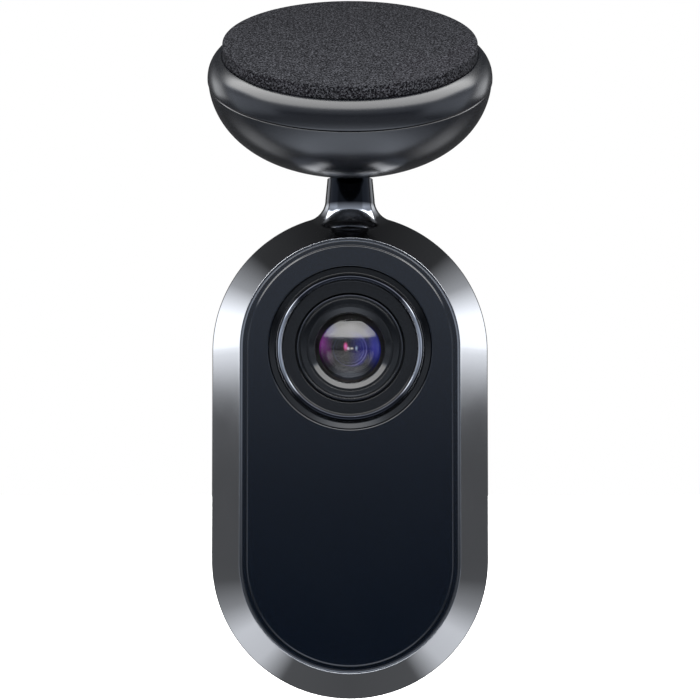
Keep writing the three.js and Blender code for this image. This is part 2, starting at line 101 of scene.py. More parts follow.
def roundedProfile(corners, steps=8, closed=True):
    # corners are (a, b, radius); each corner becomes an arc that is tangent to both its sides,
    # with one more point a little way along each side, so that the flats stay flat in shading
    corners = np.asarray(corners, float)
    count = len(corners)
    out = []
    for i, (a, b, radius) in enumerate(corners):
        here = np.array([a, b])
        if radius <= 0 or (not closed and i in (0, count - 1)):
            out.append(here[None])
            continue
        before = corners[i - 1, :2] - here
        after = corners[(i + 1) % count, :2] - here
        lengthBefore, lengthAfter = np.linalg.norm(before), np.linalg.norm(after)
        before, after = before / lengthBefore, after / lengthAfter
        half = math.acos(np.clip(before @ after, -1, 1)) / 2
        reach = min(radius / math.tan(half), 0.48 * lengthBefore, 0.48 * lengthAfter)
        bow = reach * math.tan(half)
        middle = here + (before + after) / np.linalg.norm(before + after) * bow / math.sin(half)
        start, end = here + before * reach - middle, here + after * reach - middle
        turn = math.pi - 2 * half
        t = np.linspace(0, 1, steps + 1)[:, None]
        curve = (np.sin((1 - t) * turn) * start + np.sin(t * turn) * end) / math.sin(turn) + middle
        spare = min(0.25 * bow, 0.01 * lengthBefore, 0.01 * lengthAfter) + 1e-3
        out += [curve[:1] + before * spare, curve, curve[-1:] + after * spare]
    return np.concatenate(out)


def densify(profile, longest):
    # splits every side longer than longest into equal lengths
    parts = []
    for a, b in zip(profile[:-1], profile[1:]):
        n = max(1, int(math.ceil(np.linalg.norm(b - a) / longest)))
        parts.append(a + (b - a) * np.arange(n)[:, None] / n)
    return np.concatenate(parts + [profile[-1:]])


def lathePoints(profile, middle, axis, steps):
    # point = middle + height * axis + radius * (cos, sin) in the plane across the axis
    side = np.array([1.0, 0.0, 0.0])
    across = np.cross(axis, side)
    angle = np.linspace(0, 2 * math.pi, steps, endpoint=False)[:, None, None]
    radius, height = profile[None, :, :1], profile[None, :, 1:]
    ring = np.cos(angle) * side + np.sin(angle) * across
    return middle + height * axis + radius * ring


def latheMesh(name, profile, middle, axis, steps, closed=True):
    profile = np.asarray(profile, float)
    points = lathePoints(profile, middle, axis, steps)
    return makeMesh(name, points, gridFaces(steps, len(profile), True, closed))


def stadiumStations(arcSteps, straightSteps):
    # stations around the body: the nearest point of the centre line, and the way outwards
    turn = np.linspace(0, math.pi, arcSteps, endpoint=False)
    drop = np.linspace(arc, -arc, straightSteps, endpoint=False)
    half = [np.stack([0 * turn, 0 * turn + arc, np.cos(turn), np.sin(turn)], 1),
            np.stack([0 * drop, drop, 0 * drop - 1, 0 * drop], 1)]
    top = np.concatenate(half)
    return np.concatenate([top, -top])


def stadiumPoints(profile, stations):
    # point = centre line + radius outwards, set forwards by the profile's second value
    radius = profile[None, :, 0]
    x = stations[:, 0:1] + stations[:, 2:3] * radius
    z = stations[:, 1:2] + stations[:, 3:4] * radius
    y = np.broadcast_to(-profile[None, :, 1], x.shape)
    return np.stack([x, y, z], -1) + bodyMid


def cutAway(piece, cutter):
    # takes the cutter's solid out of the piece, and removes the cutter
    cut = piece.modifiers.new("cut", "BOOLEAN")
    cut.object, cut.operation, cut.solver = cutter, "DIFFERENCE", "EXACT"
    bpy.context.view_layer.update()
    shape = piece.evaluated_get(bpy.context.evaluated_depsgraph_get())
    mesh = bpy.data.meshes.new_from_object(shape)
    piece.modifiers.clear()
    piece.data = mesh
    bpy.data.objects.remove(cutter)


# ---- shader helpers ----

def makeGroup(name, inputs, outputs):
    group = bpy.data.node_groups.new(name, "ShaderNodeTree")
    for label, kind, value in inputs:
        socket = group.interface.new_socket(label, in_out="INPUT", socket_type=kind)
        if value is not None:
            socket.default_value = value
    for label, kind in outputs:
        group.interface.new_socket(label, in_out="OUTPUT", socket_type=kind)
    return group, group.nodes.new("NodeGroupInput"), group.nodes.new("NodeGroupOutput")


def addNode(tree, kind, links=(), **settings):
    # a node with its settings, and its inputs either linked or given a value
    node = tree.nodes.new(kind)
    for key, value in settings.items():
        setattr(node, key, value)
    for key, value in dict(links).items():
        if isinstance(value, bpy.types.NodeSocket):
            tree.links.new(value, node.inputs[key])
        else:
            node.inputs[key].default_value = value
    return node


def mixColours(tree, share, low, high):
    return addNode(tree, "ShaderNodeMix", {0: share, 6: low, 7: high}, data_type="RGBA").outputs[2]


floatKind, colourKind, vectorKind = "NodeSocketFloat", "NodeSocketColor", "NodeSocketVector"


def grainGroup():
    # fine moulded grain: two octaves of noise, as a height
    group, into, out = makeGroup("fineGrain", [
        ("Place", vectorKind, None), ("Scale", floatKind, 3000.0), ("Coarse", floatKind, 0.35)],
        [("Height", floatKind)])
    fine = addNode(group, "ShaderNodeTexNoise", {
        "Vector": into.outputs["Place"], "Scale": into.outputs["Scale"], "Detail": 3.0})
    wide = addNode(group, "ShaderNodeMath", {0: into.outputs["Scale"], 1: 0.16}, operation="MULTIPLY")
    coarse = addNode(group, "ShaderNodeTexNoise", {
        "Vector": into.outputs["Place"], "Scale": wide.outputs[0], "Detail": 2.0})
    part = addNode(group, "ShaderNodeMath", {
        0: coarse.outputs["Fac"], 1: into.outputs["Coarse"]}, operation="MULTIPLY")
    total = addNode(group, "ShaderNodeMath", {0: fine.outputs["Fac"], 1: part.outputs[0]})
    group.links.new(total.outputs[0], out.inputs["Height"])
    return group


def handlingGroup():
    # faint smears and dust: a roughness between two values, and a mask of dust specks
    group, into, out = makeGroup("handling", [
        ("Place", vectorKind, None), ("Smear Scale", floatKind, 60.0), ("Low", floatKind, 0.05),
        ("High", floatKind, 0.12), ("Dust Scale", floatKind, 900.0), ("Dust", floatKind, 0.05)],
        [("Roughness", floatKind), ("Dust", floatKind)])
    smear = addNode(group, "ShaderNodeTexNoise", {
        "Vector": into.outputs["Place"], "Scale": into.outputs["Smear Scale"], "Detail": 4.0,
        "Distortion": 0.6})
    span = addNode(group, "ShaderNodeMapRange", {
        "Value": smear.outputs["Fac"], "From Min": 0.35, "From Max": 0.65,
        "To Min": into.outputs["Low"], "To Max": into.outputs["High"]})
    speck = addNode(group, "ShaderNodeTexVoronoi", {
        "Vector": into.outputs["Place"], "Scale": into.outputs["Dust Scale"], "Randomness": 1.0})
    reach = addNode(group, "ShaderNodeMath", {0: into.outputs["Dust"], 1: 2.0}, operation="MULTIPLY")
    near = addNode(group, "ShaderNodeMath", {
        0: speck.outputs["Distance"], 1: reach.outputs[0]}, operation="LESS_THAN")
    sparse = addNode(group, "ShaderNodeSeparateColor", {"Color": speck.outputs["Color"]})
    few = addNode(group, "ShaderNodeMath", {0: sparse.outputs[0], 1: 0.12}, operation="LESS_THAN")
    dust = addNode(group, "ShaderNodeMath", {0: near.outputs[0], 1: few.outputs[0]},
                   operation="MULTIPLY")
    group.links.new(span.outputs[0], out.inputs["Roughness"])
    group.links.new(dust.outputs[0], out.inputs["Dust"])
    return group


def toneGroup():
    # a slow drift between two tones of the same colour
    group, into, out = makeGroup("toneDrift", [
        ("Place", vectorKind, None), ("Scale", floatKind, 40.0),
        ("Dark", colourKind, (0, 0, 0, 1)), ("Light", colourKind, (1, 1, 1, 1))],
        [("Color", colourKind)])
    drift = addNode(group, "ShaderNodeTexNoise", {
        "Vector": into.outputs["Place"], "Scale": into.outputs["Scale"], "Detail": 5.0})
    mixed = mixColours(group, drift.outputs["Fac"], into.outputs["Dark"], into.outputs["Light"])
    group.links.new(mixed, out.inputs["Color"])
    return group


groups = {"grain": grainGroup(), "handling": handlingGroup(), "tone": toneGroup()}


def useGroup(tree, name, links):
    return addNode(tree, "ShaderNodeGroup", links, node_tree=groups[name])


def rgb(*values):
    # sRGB 0 to 255 as linear light
    v = np.array(values, float) / 255
    return tuple(np.where(v <= 0.04045, v / 12.92, ((v + 0.055) / 1.055) ** 2.4)) + (1.0,)


def newMaterial(name):
    # a material with its tree, its shader and the Object coordinates
    material = bpy.data.materials.new(name)
    material.use_nodes = True
    tree = material.node_tree
    where = tree.nodes.new("ShaderNodeTexCoord").outputs["Object"]
    return material, tree, tree.nodes["Principled BSDF"], where


def makeMaterial(name, dark, light, toneScale=40, rough=(0.1, 0.2), smearScale=60, metallic=0.0,
                 grain=None, dust=0.0, ior=1.5, speck=rgb(70, 72, 76)):
    # a finish with a tone drift, uneven gloss, fine grain and dust, all on Object coordinates
    material, tree, shader, where = newMaterial(name)
    tone = useGroup(tree, "tone", {"Place": where, "Scale": toneScale, "Dark": dark, "Light": light})
    wear = useGroup(tree, "handling", {
        "Place": where, "Smear Scale": smearScale, "Low": rough[0], "High": rough[1], "Dust": dust})
    colour = tone.outputs["Color"]
    if dust:
        colour = mixColours(tree, wear.outputs["Dust"], colour, speck)
    tree.links.new(colour, shader.inputs["Base Color"])
    tree.links.new(wear.outputs["Roughness"], shader.inputs["Roughness"])
    if grain:
        scale, depth = grain
        height = useGroup(tree, "grain", {"Place": where, "Scale": scale})
        bump = addNode(tree, "ShaderNodeBump", {
            "Height": height.outputs["Height"], "Strength": 1.0, "Distance": depth * mm})
        tree.links.new(bump.outputs["Normal"], shader.inputs["Normal"])
    shader.inputs["Metallic"].default_value = metallic
    shader.inputs["IOR"].default_value = ior
    return material


print("helpers ready")

# ---- camera ----

view = {"lens": 112.63, "distance": 292.0, "below": 2.0, "pitch": 3.14}

cameraData = bpy.data.cameras.new("camera")
cameraData.lens = view["lens"]
cameraData.clip_end = 10
cameraObject = bpy.data.objects.new("camera", cameraData)
cameraObject.location = (bodyMid - [0, view["distance"], view["below"]]) * mm
cameraObject.rotation_euler = (math.radians(90 + view["pitch"]), 0, 0)
bpy.context.scene.collection.objects.link(cameraObject)
bpy.context.scene.camera = cameraObject

# ---- the round head ----

headGloss = makeMaterial("headGloss", rgb(4, 5, 9), rgb(7, 9, 13), rough=(0.22, 0.27), ior=1.46,
                         dust=0.02, speck=rgb(30, 32, 36))

head = {"radius": 18.9, "widest": 7.1, "crown": 10.36, "crownFrom": 16.4, "parting": 6.8,
        "gap": 0.12, "ceiling": 8.8, "inside": 17.26, "bowlFrom": 7.2, "bowlRadius": 18.81,
        "bowlDepth": 11.6, "bowlEnd": 10.83, "opening": 8.6, "wall": 1.6, "floor": 1.5,
        "around": 320}


def bowlCurve(depth):
    # radius of the bowl at a depth below its widest plane: a flattened ball
    return head["bowlRadius"] * (1 - (depth / head["bowlDepth"]) ** 1.98) ** (1 / 2.68)


def bottomShellProfile():
    # down the bowl's outside, round a small lip at its opening, and back up inside the wall; the
    # depth follows a sine, so that the points crowd where the curve is steepest
    rim = head["bowlFrom"] - head["parting"] + head["gap"]
    depth = rim + (head["bowlEnd"] - rim) * np.sin(np.linspace(0, math.pi / 2, 90))
    outer = np.stack([bowlCurve(depth), head["bowlFrom"] - depth], 1)
    lip = outer[-1] + np.array([[0.02, -0.02], [-0.06, -0.06], [-0.14, -0.07]])
    floor = outer[-1, 1] + head["floor"]
    edge = np.array([[head["opening"], lip[-1, 1] + 0.05], [head["opening"], floor]])
    inner = outer[::-1][(outer[::-1, 1] > floor + 0.1)] - [head["wall"], 0]
    rimIn = np.array([[inner[-1, 0], outer[0, 1]]])
    rimOut = outer[:1] - [0.1, 0]
    return np.concatenate([rimOut, outer[:1] - [0, 0.1], outer[1:], lip, edge, inner, rimIn])


def topShellProfile():
    # the rim is a quarter ellipse: ((r - from) / width)^2 + ((h - widest) / height)^2 = 1
    h = head
    width, height = h["radius"] - h["crownFrom"], h["crown"] - h["widest"]
    t = np.linspace(0, math.pi / 2 - 0.25, 60)
    rim = np.stack([h["crownFrom"] + width * np.cos(t), h["widest"] + height * np.sin(t)], 1)
    inside = np.array([(0, h["ceiling"]), (15.9, h["ceiling"]), (h["inside"], 7.6),
                       (h["inside"], h["parting"]), (h["radius"] - 0.12, h["parting"]),
                       (h["radius"] - 0.03, h["parting"] + 0.04), (h["radius"], h["parting"] + 0.12)])
    edge = rim[-1] + np.array([(-0.03, -0.01), (-0.06, -0.05), (-0.3, -0.06)])
    return np.concatenate([inside, rim, edge, [(0, edge[-1, 1])]])


place(latheMesh("headBowl", bottomShellProfile(), ball, headAxis, head["around"]),
      headGloss, "head", ["head_bottom_shell"], 35)
place(latheMesh("headRim", topShellProfile(), ball, headAxis, head["around"], closed=False),
      headGloss, "head", ["head_top_shell"], 35)

# the foam pad: a disc whose face and edge are roughened by smooth random cells
foam = {"radius": 16.83, "top": 11.98, "bottom": 10.24, "edge": 0.1, "rings": 150, "around": 480,
        "rough": 0.02, "seed": 11, "cells": 4200.0, "pits": 0.1, "shaded": (20, -15),
        "dark": rgb(5, 5, 7), "light": rgb(78, 79, 84), "span": (0.46, 0.78)}


def foamPad():
    # radius and height run along the disc's outline, from the middle of the top to its underside
    r, e = foam["radius"], foam["edge"]
    face = np.linspace(0, r - e, foam["rings"])
    bend = np.linspace(0, math.pi / 2, 7)[1:]
    side = np.linspace(foam["top"] - e, foam["bottom"], 12)[1:]
    radius = np.concatenate([face, r - e + e * np.sin(bend), 0 * side + r, [0]])
    height = np.concatenate([0 * face + foam["top"], foam["top"] - e + e * np.cos(bend), side,
                             [foam["bottom"]]])
    points = lathePoints(np.stack([radius, height], 1), ball, headAxis, foam["around"])
    # every point sinks by a random amount, smoothed between neighbours along both directions
    random = np.random.default_rng(foam["seed"])
    noise = random.random(points.shape[:2])
    for shift in (1, 2):
        noise = (noise + np.roll(noise, shift, 0) + np.roll(noise, shift, 1)) / 3
    outward = np.stack([np.clip((radius - r + 1.5 * e) / (1.5 * e), 0, 1),
                        np.where(height > foam["top"] - e, 1.0, 0.0)], 1)
    depth = foam["rough"] * (noise - noise.min()) / np.ptp(noise)
    depth[:, 0] = depth[0, 0]
    depth[:, -1] = 0
    middle = ball + height[:, None] * headAxis
    sideways = points - middle
    sideways /= np.maximum(np.linalg.norm(sideways, axis=-1, keepdims=True), 1e-9)
    points -= depth[..., None] * (outward[None, :, :1] * sideways + outward[None, :, 1:] * headAxis)
    return makeMesh("foamPad", points, gridFaces(foam["around"], len(radius), True))


def foamMaterial():
    # open grain: tiny pits in the bump, and a lighter fleck on the walls between them, partly the
    # foam's grain and partly painted sparkle; painted light makes it a little lighter towards the
    # front edge, where the light falls
    material, tree, shader, where = newMaterial("foamRubber")
    cells = addNode(tree, "ShaderNodeTexVoronoi", {"Vector": where, "Scale": foam["cells"]})
    fleckAndSparkle = addNode(tree, "ShaderNodeTexNoise", {
        "Vector": where, "Scale": foam["cells"], "Detail": 3.0, "Roughness": 0.7})
    # the lighter flecks are partly the foam's grain and partly painted sparkle of its cell walls
    ramp = addNode(tree, "ShaderNodeValToRGB", {"Fac": fleckAndSparkle.outputs["Fac"]})
    for mark, position, colour in zip(ramp.color_ramp.elements, foam["span"],
                                      (foam["dark"], foam["light"])):
        mark.position, mark.color = position, colour
    # painted light: lighter towards the front edge, where the light falls
    along = addNode(tree, "ShaderNodeSeparateXYZ", {"Vector": where}).outputs["Y"]
    rear, front = foam["shaded"]
    paintedFrontLight = addNode(tree, "ShaderNodeMapRange", {
        "Value": along, "From Min": rear * mm, "From Max": front * mm, "To Min": 0.35})
    tree.links.new(mixColours(tree, paintedFrontLight.outputs[0], foam["dark"], ramp.outputs["Color"]),
                   shader.inputs["Base Color"])
    height = addNode(tree, "ShaderNodeMath", {
        0: fleckAndSparkle.outputs["Fac"], 1: cells.outputs["Distance"]}, operation="MULTIPLY")
    bump = addNode(tree, "ShaderNodeBump", {
        "Height": height.outputs[0], "Strength": 1.0, "Distance": foam["pits"] * mm})
    tree.links.new(bump.outputs["Normal"], shader.inputs["Normal"])
    shader.inputs["Roughness"].default_value = 0.95
    shader.inputs["Specular IOR Level"].default_value = 0.04
    return material


pad = foamPad()
place(pad, foamMaterial(), "head", ["adhesive_foam_pad"], 180)
print("head ready")

# ---- the body's frame: bezel, side band, neck and stud ----

section = {"front": 8.3, "rear": -6.2, "wide": 18.4, "bezel": 14.26, "back": 17.72,
           "innerRear": 16.2, "ledge": 13.0}
neck = {"foot": 3.3, "top": 3.05, "spread": 1.95, "rise": 2.2, "sleeveEnd": -7.1, "stud": 2.2,
        "studEnd": 4.9, "patchDegrees": 24.5, "patchFront": 6.7, "patchRear": -5.65,
        "coated": (32.5, 33.6), "coat": rgb(26, 28, 32)}


def frameSection():
    # radius and height forwards: the side band, the sloping bezel, a small lip, then the inside
    s = section
    outer = densify(roundedProfile([
        (s["back"], s["rear"], 0), (18.25, -2.8, 6.0), (s["wide"], 0.1, 1.6),
        (s["bezel"], s["front"], 0)], steps=14, closed=False), 0.45)
    outer = outer[outer[:, 1] < s["front"] - 0.14]
    lip = roundedProfile([
        (outer[-1, 0], outer[-1, 1], 0), (s["bezel"] + 0.02, s["front"], 0.035),
        (s["bezel"] - 0.02, s["front"] - 0.4, 0)], steps=6, closed=False)[1:]
    inner = np.array([(s["bezel"], 6.9), (s["ledge"], 6.9), (s["ledge"], 6.0), (13.4, 6.0),
                      (s["innerRear"], 0.5), (s["innerRear"], s["rear"] + 0.05),
                      (s["innerRear"] + 0.08, s["rear"]), (s["back"] - 0.1, s["rear"])])
    return outer, np.concatenate([outer, lip, inner])


def bodyFrame():
    # the section carried round the body, with the neck let into the top of the grid
    outer, profile = frameSection()
    stations = stadiumStations(180, 40)
    count, rows = len(stations), len(profile)
    points = stadiumPoints(profile, stations).reshape(-1, 3) - bodyMid

    # the window in the grid that the neck's foot fills
    turn = np.degrees(np.arctan2(stations[:, 3], stations[:, 2]))
    onTop = np.flatnonzero((abs(turn - 90) < neck["patchDegrees"]) & (stations[:, 1] > 0))
    first, last = onTop[0], onTop[-1]
    front = np.flatnonzero(outer[:, 1] < neck["patchFront"])[-1]
    rear = np.flatnonzero(outer[:, 1] > neck["patchRear"])[0]
    quads = gridFaces(count, rows, True, True).reshape(count, rows, 4)
    keep = np.ones((count, rows), bool)
    keep[first:last, rear:front] = False
    quads = quads[keep]
    across, along = np.arange(first, last), np.arange(rear, front)
    loop = np.concatenate([across * rows + front, last * rows + along[::-1] + 1,
                           across[::-1] * rows + rows + rear, first * rows + along])
    edge = points[loop]

    # the outer surface as a height over the plan: section radius at that depth, carried round
    # the top arc
    def topHeight(x, y):
        radius = np.interp(-y, outer[:, 1], outer[:, 0])
        return arc + np.sqrt(np.maximum(radius ** 2 - x ** 2, 0))

    angle = np.arctan2(edge[:, 1], edge[:, 0])
    ring = np.stack([np.cos(angle), np.sin(angle)], 1)
    reach = neck["foot"] + neck["spread"]
    # from the window's edge in to the fillet
    t = np.linspace(0, 1, 12)[1:, None, None]
    flat = (1 - t) * edge[None, :, :2] + t * (reach * ring)[None]
    flatZ = topHeight(flat[..., 0], flat[..., 1])
    # the fillet: a quarter ellipse that leaves the surface level and ends upright
    psi = np.linspace(math.pi / 2, 0, 26)[1:, None, None]
    fillet = (reach - neck["spread"] * np.cos(psi)) * ring[None]
    filletZ = topHeight(fillet[..., 0], fillet[..., 1]) + neck["rise"] * (1 - np.sin(psi[..., 0]))
    # the shaft, its rounded end and the stud, narrowing upwards
    ballZ = ball[2] - bodyMid[2]
    endZ = ballZ + neck["sleeveEnd"]
    s = np.linspace(0, 1, 16)[1:, None, None]
    shaft = (neck["foot"] + (neck["top"] - neck["foot"]) * s) * ring[None]
    shaftZ = filletZ[-1] + (endZ - 0.3 - filletZ[-1]) * s[..., 0]
    cap = roundedProfile([
        (neck["top"], endZ - 0.3, 0), (neck["top"], endZ, 0.28), (neck["stud"], endZ, 0.25),
        (neck["stud"], ballZ + neck["studEnd"], 0.3), (0, ballZ + neck["studEnd"], 0)],
        closed=False)[1:]
    cap = densify(cap, 1.0)
    stud = cap[:, None, :1] * ring[None]
    studZ = np.broadcast_to(cap[:, 1:], stud.shape[:2])
    xy = np.concatenate([flat, fillet, shaft, stud])
    z = np.concatenate([flatZ, filletZ, shaftZ, studZ])
    patch = np.concatenate([xy, z[..., None]], -1)
    rings, around = patch.shape[:2]
    number = np.concatenate([loop[None], len(points) + np.arange(rings * around).reshape(rings, -1)])
    nextColumn = np.roll(number, -1, 1)
    patchQuads = np.stack([number[:-1], nextColumn[:-1], nextColumn[1:], number[1:]], -1)
    allPoints = np.concatenate([points, patch.reshape(-1, 3)]) + bodyMid
    return makeMesh("bodyFrame", allPoints, np.concatenate([quads, patchQuads.reshape(-1, 4)]))


def slotCutter(name, long, short, x0, x1, y, z, radius):
    # a slot with round ends pushed along X
    corner = [(long / 2, short / 2, radius), (-long / 2, short / 2, radius),
              (-long / 2, -short / 2, radius), (long / 2, -short / 2, radius)]
    outline = roundedProfile(corner, steps=10)
    ring = lambda x, grow: np.stack([0 * outline[:, 0] + x, y + outline[:, 1] * grow,
                                     z + outline[:, 0] * grow], 1)
    points = np.stack([ring(x0, 0), ring(x0, 1), ring(x1, 1), ring(x1, 0)])
    return makeMesh(name, points, gridFaces(4, len(outline), False, True))


smoked = makeMaterial("smokedMetal", rgb(158, 160, 164), rgb(166, 168, 172), toneScale=25,
                      rough=(0.08, 0.12), metallic=1.0, grain=(14000, 0.0002))


def darkenNeck():
    # the smoked coating is thicker above the body, from the neck's foot up
    tree = smoked.node_tree
    colour = tree.nodes["Principled BSDF"].inputs["Base Color"]
    where = tree.nodes.new("ShaderNodeTexCoord").outputs["Object"]
    height = addNode(tree, "ShaderNodeSeparateXYZ", {"Vector": where}).outputs["Z"]
    low, high = neck["coated"]
    share = addNode(tree, "ShaderNodeMapRange", {
        "Value": height, "From Min": (bodyMid[2] + low) * mm, "From Max": (bodyMid[2] + high) * mm})
    tree.links.new(mixColours(tree, share.outputs[0], colour.links[0].from_socket, neck["coat"]),
                   colour)


darkenNeck()

# each port: the side it opens to, its place on the side, its length, height and corner radius
ports = {"usbCut": (-1, 2.9, -4.0, 9.24, 3.56, 1.77), "cardCut": (1, 3.65, -6.0, 11.6, 1.3, 0.35),
         "depth": (15, 20)}

shell = bodyFrame()
for port in ("usbCut", "cardCut"):
    side, y, z, long, short, corner = ports[port]
    x0, x1 = sorted(side * x for x in ports["depth"])
    cutAway(shell, slotCutter(port, long, short, x0, x1, bodyMid[1] + y, bodyMid[2] + z, corner))
place(shell, smoked, "camera", ["body_frame"], 32)
print("frame piece ready")

# ---- the gloss face ----

face = {"front": 8.6, "rear": 7.4, "radius": 13.3, "step": 0.45, "stepRadius": 13.96,
        "opening": 10.6, "edge": 0.16}


def frontFace():
    # closed section from the opening's back edge, over the face and step, to the back again;
    # inner points run round the lens opening, outer points round the body's outline
    f = face
    stations = stadiumStations(150, 70)
    outline = roundedProfile([
        (f["radius"] - 1, f["front"], 0), (f["radius"], f["front"], f["edge"]),
        (f["radius"], f["front"] - f["step"], 0.12), (f["stepRadius"], f["front"] - f["step"], 0.1),
        (f["stepRadius"], f["rear"], 0)], steps=7, closed=False)
    hole = roundedProfile([
        (f["opening"], f["rear"], 0), (f["opening"], f["front"], f["edge"]),
        (f["opening"] + 1, f["front"], 0)], steps=7, closed=False)
    outer = stadiumPoints(outline, stations) - bodyMid
    rim = outer[:, 1] - [0, 0, arc]
    angle = np.arctan2(rim[:, 2], rim[:, 0])
    inner = np.stack([np.cos(angle)[:, None] * hole[None, :, 0],
                      np.broadcast_to(-hole[None, :, 1], (len(angle), len(hole))),
                      np.sin(angle)[:, None] * hole[None, :, 0] + arc], -1)[:, :-1]
    points = np.concatenate([inner, outer[:, 1:]], 1) + bodyMid
    return makeMesh("frontFace", points, gridFaces(len(stations), points.shape[1], True, True))


gloss = makeMaterial("glossBlack", rgb(2, 4, 9), rgb(3, 6, 12), rough=(0.05, 0.08), dust=0.02,
                     speck=rgb(24, 26, 30))
place(frontFace(), gloss, "camera", ["front_fascia"], 40)
print("face ready")

# ---- the lens, from the bezel in to the aperture ----

satin = makeMaterial("satinBlack", rgb(13, 14, 17), rgb(19, 20, 24), rough=(0.26, 0.34),
                     grain=(11000, 0.004), dust=0.04)
lensBlack = makeMaterial("lensBlack", rgb(3, 4, 6), rgb(6, 7, 9), rough=(0.08, 0.12), ior=1.42,
                         dust=0.02, speck=rgb(24, 26, 30))
matt = makeMaterial("mattBlack", rgb(7, 7, 8), rgb(12, 12, 13), rough=(0.6, 0.75),
                    grain=(8000, 0.01))
# tinted glass: the smear changes only its roughness
glass = makeMaterial("coatedGlass", (0.54, 0.53, 0.56, 1), (0.57, 0.56, 0.58, 1), toneScale=90,
                     rough=(0.0, 0.004), smearScale=120, ior=1.42)
glass.node_tree.nodes["Principled BSDF"].inputs["Transmission Weight"].default_value = 1.0

# outlines are (radius, height, corner radius); a metallic rim runs between two distances from the
# lens axis, with a painted highlight in its own colour at both sides
lens = {
    "bezel": [(7.15, 6.5, 0), (11.2, 6.5, 0.1), (11.2, 7.2, 0.08), (10.75, 7.2, 0.05),
              (10.55, 8.12, 0.08), (9.76, 7.95, 0.1), (9.5, 8.6, 0.15), (9.3, 9.13, 0.2),
              (8.92, 9.13, 0.16), (8.66, 8.36, 0.08), (7.15, 8.34, 0.05)],
    "barrel": [(4.2, -0.9, 0.1), (5.95, -0.9, 0.1), (5.95, 5.8, 0), (6.9, 5.8, 0),
               (6.9, 8.42, 0.12), (6.62, 8.42, 0.06), (6.56, 8.22, 0.04), (6.46, 8.22, 0.04),
               (6.4, 8.34, 0.08), (6.2, 8.3, 0.1), (5.62, 8.24, 0.06), (5.62, 3.6, 0),
               (4.7, 3.6, 0), (4.7, 0.4, 0), (4.2, 0.4, 0)],
    "ring": [(4.62, 6.95, 0.04), (5.6, 6.95, 0.04), (5.6, 8.1, 0.04), (5.3, 8.1, 0.05),
             (4.64, 7.74, 0.05)],
    "bezelRim": (8.86, 9.55, rgb(172, 176, 184)), "barrelRim": (6.78, 7.1, rgb(60, 63, 70)),
    "rimSoft": 0.04, "rimSides": (0.72, 0.97), "rimDark": rgb(40, 42, 48),
    "glass": {"edge": 5.5, "clear": 4.52, "front": 6.85, "sag": 1.6, "back": 5.35, "backSag": 1.95},
    "coated": {"edge": 5.45, "rim": 4.02, "foot": 3.75, "curve": 6.3, "apex": 4.75, "inner": 2.35,
               "slope": 0.35},
    "stopRing": {"hole": 1.3, "edge": 4.6, "back": 3.1, "front": 3.4},
}


def turnedRim(name, inner, outer, sideHighlight):
    # the lens black with a metallic rim between two distances from the lens axis: dark at the top
    # and bottom, and a painted highlight of the side lights in its own colour at both sides
    material = lensBlack.copy()
    material.name = name
    tree = material.node_tree
    shader = tree.nodes["Principled BSDF"]
    where = tree.nodes.new("ShaderNodeTexCoord").outputs["Object"]
    off = addNode(tree, "ShaderNodeVectorMath", {0: where, 1: lensMid * mm}, operation="SUBTRACT")
    flat = addNode(tree, "ShaderNodeVectorMath", {0: off.outputs[0], 1: (1, 0, 1)},
                   operation="MULTIPLY")
    away = addNode(tree, "ShaderNodeVectorMath", {0: flat.outputs[0]}, operation="LENGTH")
    beyond = [addNode(tree, "ShaderNodeMapRange", {
        "Value": away.outputs["Value"], "From Min": (edge - lens["rimSoft"]) * mm,
        "From Max": (edge + lens["rimSoft"]) * mm}) for edge in (inner, outer)]
    share = addNode(tree, "ShaderNodeMath", {0: beyond[0].outputs[0], 1: beyond[1].outputs[0]},
                    operation="SUBTRACT").outputs[0]
    sideways = addNode(tree, "ShaderNodeSeparateXYZ", {"Vector": flat.outputs[0]})
    across = addNode(tree, "ShaderNodeMath", {0: sideways.outputs["X"], 1: away.outputs["Value"]},
                     operation="DIVIDE")
    either = addNode(tree, "ShaderNodeMath", {0: across.outputs[0]}, operation="ABSOLUTE")
    low, high = lens["rimSides"]
    sides = addNode(tree, "ShaderNodeMapRange", {
        "Value": either.outputs[0], "From Min": low, "From Max": high})
    # painted highlight: the rim's colour goes from dark at top and bottom to its own colour at both
    # sides
    paintedSideHighlight = mixColours(tree, sides.outputs[0], lens["rimDark"], sideHighlight)
    black = shader.inputs["Base Color"].links[0].from_socket
    tree.links.new(mixColours(tree, share, black, paintedSideHighlight), shader.inputs["Base Color"])
    tree.links.new(share, shader.inputs["Metallic"])
    return material


place(latheMesh("lensBezel", roundedProfile(lens["bezel"], 10), lensMid, forward, 320),
      turnedRim("bezelBlack", *lens["bezelRim"]), "camera", ["lens_bezel"], 35)
place(latheMesh("lensBarrel", roundedProfile(lens["barrel"], 6), lensMid, forward, 256),
      turnedRim("barrelBlack", *lens["barrelRim"]), "camera", ["lens_barrel"], 35)
place(latheMesh("retainingRing", roundedProfile(lens["ring"], 6), lensMid, forward, 256),
      lensBlack, "camera", ["lens_retaining_ring"], 35)


def frontGlass():
    # both faces bow forwards as parts of spheres, the front one by sag and the back one by
    # backSag: height = face + sag - R + sqrt(R^2 - r^2), and R = (clear^2 + sag^2) / (2 sag)
    g = lens["glass"]
    radius = (g["clear"] ** 2 + g["sag"] ** 2) / (2 * g["sag"])
    r = g["clear"] * np.sin(np.linspace(0, math.pi / 2, 60))
    frontHeight = g["front"] + g["sag"] - radius + np.sqrt(radius ** 2 - r ** 2)
    backRadius = (g["clear"] ** 2 + g["backSag"] ** 2) / (2 * g["backSag"])
    backHeight = g["back"] + g["backSag"] - backRadius + np.sqrt(backRadius ** 2 - r ** 2)
    shape = np.concatenate([np.stack([r, frontHeight], 1),
                            [(g["edge"], g["front"]), (g["edge"], g["back"])],
                            np.stack([r, backHeight], 1)[::-1]])
    return latheMesh("frontLens", shape, lensMid, forward, 192, closed=False)


place(frontGlass(), glass, "camera", ["front_lens"])
